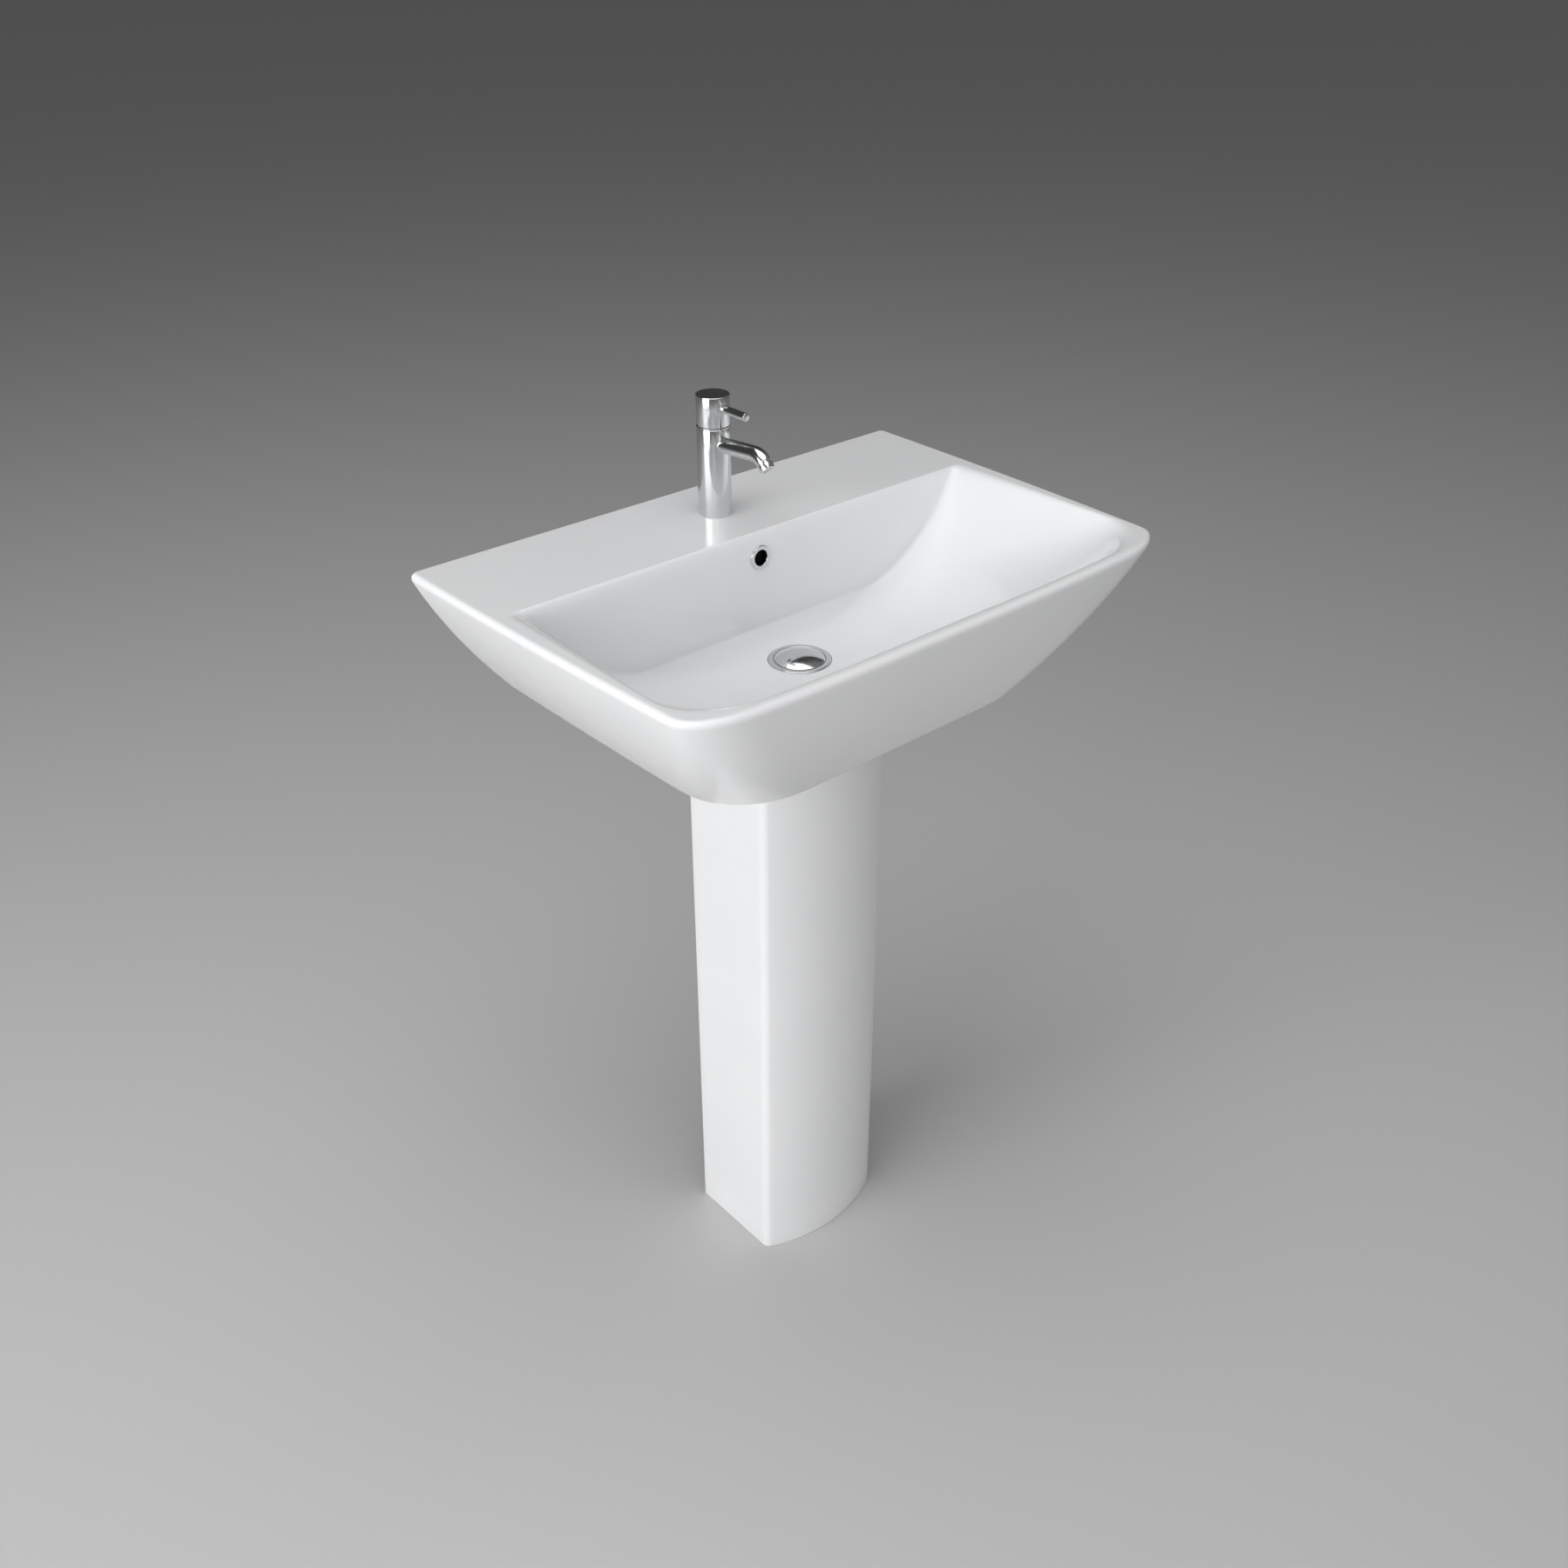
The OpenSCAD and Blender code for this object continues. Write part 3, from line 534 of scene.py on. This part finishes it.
at_tip = bent(rise + drop)
body = turned("tap_body_polished", [
    (tap_r, rim_z, 0.35), (tap_r, body_top, 0.45), (chamber_r, body_top, 0.25), (chamber_r, seat_z, 0.3),
    (0, seat_z), (0, rim_z), (14.4, rim_z), (14.4, rim_z + 1.2), (15.7, rim_z + 1.2), (15.7, rim_z)],
    at_tap, "sink", "chrome", ["tap_body"], 192)
carve(body, "DIFFERENCE", moved(rod_solid("z", (0, 0), spout_r, 0, 30, 128), on_spout))
for x in (-8, 8):
    carve(body, "DIFFERENCE", rod_solid("z", (x, tap_y - 3), 4.5, rim_z - 1, rim_z + 12, 64))
    carve(body, "DIFFERENCE", rod_solid("z", (x, tap_y - 3), 3, rim_z + 11, seat_z + 1, 48))
carve(body, "DIFFERENCE", rod_solid("z", (0, tap_y + 9), 4, rim_z - 1, rim_z + 14, 64))
settle(body, 35)
turned("tap_trim_band", [
    (chamber_r + 0.3, body_top), (tap_r, body_top, 0.3), (tap_r, body_top + 1.5, 0.3),
    (chamber_r + 0.3, body_top + 1.5)], at_tap, "sink", "chrome", ["tap_trim_ring"], 192)


def spout_frame(t):
    """Frame at arc length t past the straight run, or along it where t is negative."""
    if t <= 0:
        return on_spout @ Matrix.Translation((0, 0, straight + t))
    return bent(math.degrees(t / bend_r))


arc = math.radians(rise + drop) * bend_r
stations = [mix(13.6 - straight, 0, i / 12) for i in range(12)] + [mix(0, arc, i / 28) for i in range(29)]
rim_edge = 0.35
rows = []
outside = [(t, spout_r) for t in stations[:-1]]
tip = [(arc - rim_edge, spout_r), (arc - 0.1, spout_r - 0.12), (arc, spout_r - rim_edge), (arc, spout_bore)]
inside = [(t, spout_bore) for t in reversed(stations[:-1])]
for t, r in outside + tip + inside:
    place = spout_frame(t)
    rows.append([tuple(place @ Vector((x, y, 0))) for x, y in circle(r, 96)])
make("tap_spout_tube", *loft(rows), "sink", "chrome", ["tap_spout"], 40)
turned("aerator_ring", [
    (7.0, 0), (7.0, 2.2), (spout_r, 2.2, 0.25), (spout_r, 8, 0.6), (4.4, 8, 0.4), (4.4, 7.4), (5.4, 7.4),
    (5.4, 2), (4.4, 2), (4.4, 0)], at_tip, "sink", "chrome", ["aerator_housing"], 96)

# lever: cap and pin
lever_z = tap_top - 11.3
cap = turned("lever_cap", [
    (tap_r, seam_z, 0.4), (tap_r, tap_top, 0.7), (0, tap_top), (0, tap_top - 3),
    (tap_r - 1.6, tap_top - 3, 0.8), (tap_r - 1.6, seam_z, 0.3)],
    at_tap, "lever", "chrome", ["handle_cap"], 192)
carve(cap, "UNION", moved(rod_solid("z", (0, 0), 7.5, lever_z - 6, tap_top - 2, 96), at_tap))
carve(cap, "DIFFERENCE", box_solid(-3.4, 3.4, tap_y - 3.4, tap_y + 3.4, lever_z - 7, lever_z + 6.3))
carve(cap, "DIFFERENCE", rod_solid("y", (0, lever_z), 2.5, tap_y - 33.4, tap_y - 3.3, 48))
carve(cap, "DIFFERENCE", rod_solid("y", (0, lever_z), 2, tap_y + 3.3, tap_y + 17.5, 48))
pivot = Matrix.Translation((0, tap_y, seam_z - 6.5)) @ tilt(20)
carve(cap, "DIFFERENCE", moved(box_solid(-20, 20, -30, 30, -14, 6), pivot))
settle(cap, 35)
pin_low, pin_high = mm_box("lever_pin")
pin_end = tap_y - pin_low[1]
forward_y = Matrix.Translation((0, tap_y, lever_z)) @ tilt(90)
turned("lever_pin_polished", [
    (0, 3.4), (2.5, 3.4, 0.3), (2.5, tap_r - 0.6), (4, tap_r - 0.55), (4, pin_end, 0.55), (0, pin_end)],
    forward_y, "lever", "chrome", ["lever_pin"], 96)

# overflow ring
overflow_place = Matrix.Translation((0, bowl_b(26 / bowl_depth) + waste_y, rim_z - 26)) @ tilt(
    90 - math.degrees(math.atan(2 / bowl_depth)))
turned("overflow_trim", [
    (8, -6), (10, -6, 0.2), (10, 0.02), (12.5, 0.02), (12.5, 2.1, 1.2), (8, 2.1, 0.9)],
    overflow_place, "sink", "chrome", ["overflow_ring"], 128)

# waste and plug
flange_z = floor_z - 1.8
at_waste = upright(waste_y)
waste = turned("waste_flange", [
    (18.5, waste_low[2], 0.3), (20.8, waste_low[2], 0.4), (20.8, flange_z - 7), (22.7, flange_z - 5, 0.3),
    (22.7, flange_z - 1.3), (25.5, flange_z), (31, flange_z, 0.2), (31, flange_z + 2.5, 1.1),
    (25.9, flange_z + 2.5, 0.5), (25.6, flange_z + 1.2, 0.2), (21.5, flange_z + 0.6, 0.8),
    (19.6, flange_z - 3, 1.5), (18.5, flange_z - 8)], at_waste, "sink", "chrome", ["waste_body"], 192)
for turn in (0, 90):
    slot_box = moved(box_solid(-7, 7, -30, 30, pad_z + 9.5, pad_z + 13.5),
                     at_waste @ Matrix.Rotation(math.radians(turn), 4, "Z"))
    carve(waste, "DIFFERENCE", slot_box)
settle(waste, 35)
plug_low, plug_high = mm_box("waste_plug")
plug_z = flange_z + 1.35
crown = plug_high[2] - plug_z - 1.4
dome_r = (25 * 25 + crown * crown) / (2 * crown)
dome = [(dome_r * math.sin(a), plug_high[2] + dome_r * (math.cos(a) - 1))
        for a in (math.asin(25 / dome_r) * (1 - i / 24) for i in range(1, 24))]
turned("plug_dome", [
    (0, plug_low[2]), (3, plug_low[2], 0.6), (3, plug_z - 5, 0.5), (18.6, plug_z - 5, 0.4),
    (18.6, plug_z - 3.5, 0.2), (17, plug_z - 3.5), (17, plug_z - 1), (20.5, plug_z - 0.4),
    (24.6, plug_z), (25, plug_z + 0.3, 0.1), (25, plug_z + 1.4, 0.5)] + dome + [(0, plug_high[2])],
    at_waste, "plug", "chrome", ["waste_plug"], 192)


# ---------------------------------------------------------------- materials
def material(name, base, rough=0.5, metal=0.0, **more):
    m = bpy.data.materials.new(name)
    m.use_nodes = True
    b = m.node_tree.nodes["Principled BSDF"]
    b.inputs["Base Color"].default_value = (*base, 1)
    b.inputs["Roughness"].default_value = rough
    b.inputs["Metallic"].default_value = metal
    for k, v in more.items():
        b.inputs[k.replace("_", " ")].default_value = v
    return m, m.node_tree, b


def noise(tree, scale, detail):
    out = tree.nodes.new("ShaderNodeTexCoord").outputs["Object"]
    n = tree.nodes.new("ShaderNodeTexNoise")
    n.inputs["Scale"].default_value = scale
    n.inputs["Detail"].default_value = detail
    tree.links.new(out, n.inputs["Vector"])
    return n.outputs["Fac"]


def ramp(tree, fac, stops):
    r = tree.nodes.new("ShaderNodeValToRGB")
    r.color_ramp.elements[0].position, r.color_ramp.elements[0].color = stops[0][0], (*stops[0][1], 1)
    r.color_ramp.elements[1].position, r.color_ramp.elements[1].color = stops[-1][0], (*stops[-1][1], 1)
    for p, c in stops[1:-1]:
        e = r.color_ramp.elements.new(p)
        e.color = (*c, 1)
    tree.links.new(fac, r.inputs["Fac"])
    return r.outputs["Color"]


def spread(tree, fac, low, high, a=0.3, b=0.7):
    r = tree.nodes.new("ShaderNodeMapRange")
    r.inputs["From Min"].default_value, r.inputs["From Max"].default_value = a, b
    r.inputs["To Min"].default_value, r.inputs["To Max"].default_value = low, high
    tree.links.new(fac, r.inputs["Value"])
    return r.outputs["Result"]


def bump(tree, shader, fac, strength, distance):
    n = tree.nodes.new("ShaderNodeBump")
    n.inputs["Strength"].default_value = strength
    n.inputs["Distance"].default_value = distance
    tree.links.new(fac, n.inputs["Height"])
    tree.links.new(n.outputs["Normal"], shader.inputs["Normal"])
    return n


def glaze_material():
    m, t, b = material("white_glaze", (0.86, 0.865, 0.875), 0.18, 0,
                       Coat_Weight=0.1, Coat_Roughness=0.08, IOR=1.46)
    col = ramp(t, noise(t, 9, 4), [(0.3, (0.850, 0.857, 0.868)), (0.7, (0.872, 0.877, 0.886))])
    t.links.new(col, b.inputs["Base Color"])
    t.links.new(spread(t, noise(t, 60, 5), 0.16, 0.21), b.inputs["Roughness"])
    bump(t, b, noise(t, 28, 2), 0.02, 0.001)
    return m


def clay_material():
    """Fired clay left without glaze."""
    m, t, b = material("bare_fireclay", (0.72, 0.68, 0.61), 0.85)
    col = ramp(t, noise(t, 160, 6), [(0.3, (0.74, 0.71, 0.66)), (0.7, (0.80, 0.78, 0.74))])
    t.links.new(col, b.inputs["Base Color"])
    bump(t, b, noise(t, 900, 4), 0.35, 0.0004)
    return m


def simple(name, base, rough, metal, scale, vary=0.04, bump_strength=0.05, dist=0.0005, **more):
    m, t, b = material(name, base, rough, metal, **more)
    lo = tuple(max(c - vary, 0) for c in base)
    hi = tuple(min(c + vary, 1) for c in base)
    t.links.new(ramp(t, noise(t, scale, 4), [(0.3, lo), (0.7, hi)]), b.inputs["Base Color"])
    gloss = spread(t, noise(t, scale * 3, 3), max(rough - 0.03, 0.01), rough + 0.05)
    t.links.new(gloss, b.inputs["Roughness"])
    bump(t, b, noise(t, scale * 2, 3), bump_strength, dist)
    return m


mats = {
    "glaze": glaze_material(),
    "chrome": simple("polished_chrome", (0.71, 0.72, 0.73), 0.12, 1, 120, 0.012, 0.002, 0.00005),
    "brass": simple("turned_brass", (0.72, 0.55, 0.28), 0.28, 1, 300, 0.05),
    "seal_rubber": simple("black_rubber", (0.03, 0.03, 0.03), 0.6, 0, 500, 0.01),
    "foam_gasket": simple("foam_strip", (0.78, 0.78, 0.76), 0.85, 0, 700, 0.04, 0.3),
    "steel": simple("stainless_steel", (0.6, 0.6, 0.61), 0.3, 1, 400, 0.04),
    "ceramic_disc": simple("ground_ceramic", (0.85, 0.83, 0.77), 0.25, 0, 900, 0.02),
    "cartridge_plastic": simple("moulded_acetal", (0.82, 0.81, 0.76), 0.42, 0, 400, 0.02),
    "trap_plastic": simple("white_polypropylene", (0.83, 0.83, 0.82), 0.24, 0, 250, 0.02, 0.08),
    "nylon": simple("white_nylon", (0.80, 0.80, 0.77), 0.45, 0, 400, 0.02),
    "screw_steel": simple("blackened_steel", (0.08, 0.08, 0.085), 0.35, 1, 600, 0.02),
}
slot_of = {p["node"]: p["material_slot"] for p in frame["record"]["subparts"]}
for name, obj in nodes.items():
    obj.data.materials.clear()
    obj.data.materials.append(mats[slot_of[name]])
for obj in bpy.context.scene.objects:
    if obj.type == "MESH" and "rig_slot" in obj:
        obj.data.materials.clear()
        obj.data.materials.append(mats[obj["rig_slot"]])


def paint(obj, mat, chosen):
    """Gives the faces that `chosen` picks, by centre in millimetres and normal, a material of their own."""
    obj.data.materials.append(mat)
    index = len(obj.data.materials) - 1
    for face in obj.data.polygons:
        c = face.center
        if chosen((c.x * 1000, (c.y - wall_y) * 1000, c.z * 1000), face.normal):
            face.material_index = index


clay = clay_material()
# painted shade: the white ceramic inside the overflow hole, duct and passage is coloured near-black to stand
# in for the shade in there
painted_duct_shade = simple("duct_painted_shade", (0.012, 0.012, 0.012), 0.85, 0, 200, 0.006, 0.1)
paint(basin, clay, lambda c, n: c[1] > -0.4 and n.y > 0.9 or (n.z < -0.5 and abs(c[2] - pad_z) < 0.5))


def in_duct_painted_shade(c, n):
    """Walls of the overflow hole, of the duct behind it and of the passage to the waste, which get near-black
    painted shade in place of the real shade inside the hole.
    """
    if abs(c[0]) >= 14.6 or c[1] >= -105:
        return False
    behind_wall = c[1] > -130 or math.hypot(c[0], c[2] - overflow_z) < 10.2
    duct_wall = c[1] > -134 and pad_z + 8 < c[2] < rim_z - 15 and behind_wall and n.y < 0.98
    return duct_wall or (waste_y + 20 < c[1] and pad_z + 8 < c[2] < pad_z + 19)


paint(basin, painted_duct_shade, in_duct_painted_shade)
paint(pedestal, clay, lambda c, n: c[2] < 0.5 or c[2] > ped_top - 0.4)

# ---------------------------------------------------------------- stage, light and camera
FLOOR_HALF = 90                        # metres, so that its edge stays out of view
floor_mesh = bpy.data.meshes.new("floor")
corners = [(x * FLOOR_HALF, y * FLOOR_HALF, 0) for x, y in ((-1, -1), (1, -1), (1, 1), (-1, 1))]
floor_mesh.from_pydata(corners, [], [(0, 1, 2, 3)])
floor = bpy.data.objects.new("floor", floor_mesh)
bpy.context.scene.collection.objects.link(floor)
floor_mesh.materials.append(material("pale_floor", (0.6, 0.6, 0.6), 0.6)[0])


def area(name, place, target, size_x, size_y, power):
    data = bpy.data.lights.new(name, "AREA")
    data.shape = "RECTANGLE"
    data.size, data.size_y = size_x, size_y
    data.energy = power
    obj = bpy.data.objects.new(name, data)
    bpy.context.scene.collection.objects.link(obj)
    obj.location = place
    obj.rotation_euler = (Vector(target) - Vector(place)).to_track_quat("-Z", "Y").to_euler()


middle = Vector((0, 0, 0.7))
area("left_mid", (-3.0, -1.7, 1.9), middle, 6.5, 2.0, 62)
area("left_near", (-3.2, -0.1, 1.2), middle, 2.6, 2.2, 54)
area("top", (-0.3, -0.2, 3.5), middle, 3.0, 3.0, 48)
area("front", (0.6, -4.0, 1.6), middle, 3.4, 2.2, 13)


def studio_world(dim, front, left):
    """Soft surroundings: dim behind the wall plane, brighter in front of it and to the left."""
    world = bpy.data.worlds.new("studio")
    bpy.context.scene.world = world
    world.use_nodes = True
    tree = world.node_tree
    back = tree.nodes["Background"]
    back.inputs["Color"].default_value = (1, 1, 1, 1)
    split = tree.nodes.new("ShaderNodeSeparateXYZ")
    tree.links.new(tree.nodes.new("ShaderNodeTexCoord").outputs["Generated"], split.inputs["Vector"])

    def fade(output, start, end, high):
        r = tree.nodes.new("ShaderNodeMapRange")
        r.interpolation_type = "SMOOTHSTEP"
        r.inputs["From Min"].default_value, r.inputs["From Max"].default_value = start, end
        r.inputs["To Min"].default_value, r.inputs["To Max"].default_value = 0, high
        tree.links.new(output, r.inputs["Value"])
        return r.outputs["Result"]

    def join(operation, a, b):
        n = tree.nodes.new("ShaderNodeMath")
        n.operation = operation
        for value, socket in ((a, n.inputs[0]), (b, n.inputs[1])):
            if isinstance(value, (int, float)):
                socket.default_value = value
            else:
                tree.links.new(value, socket)
        return n.outputs[0]

    ahead = fade(split.outputs["Y"], 0.34, 0.06, 1)
    side = fade(split.outputs["X"], 0.1, -0.7, left)
    bright = join("MULTIPLY", ahead, join("ADD", side, front))
    tree.links.new(join("ADD", bright, dim), back.inputs["Strength"])


studio_world(0.05, 0.13, 0)

cam_data = bpy.data.cameras.new("camera")
cam = bpy.data.objects.new("camera", cam_data)
bpy.context.scene.collection.objects.link(cam)
cam_data.sensor_width = 36
cam_data.lens = 1755.24 / 1800 * cam_data.sensor_width
cam_data.clip_end = 300
yaw, pitch = math.radians(41.37), math.radians(31.73)
forward = Vector((math.sin(yaw) * math.cos(pitch), math.cos(yaw) * math.cos(pitch), -math.sin(pitch)))
cam.location = put(-894.6, -1187.6, 1418.3)
cam.rotation_euler = forward.to_track_quat("-Z", "Y").to_euler()
bpy.context.scene.camera = cam
bpy.context.scene.view_settings.view_transform = "Standard"
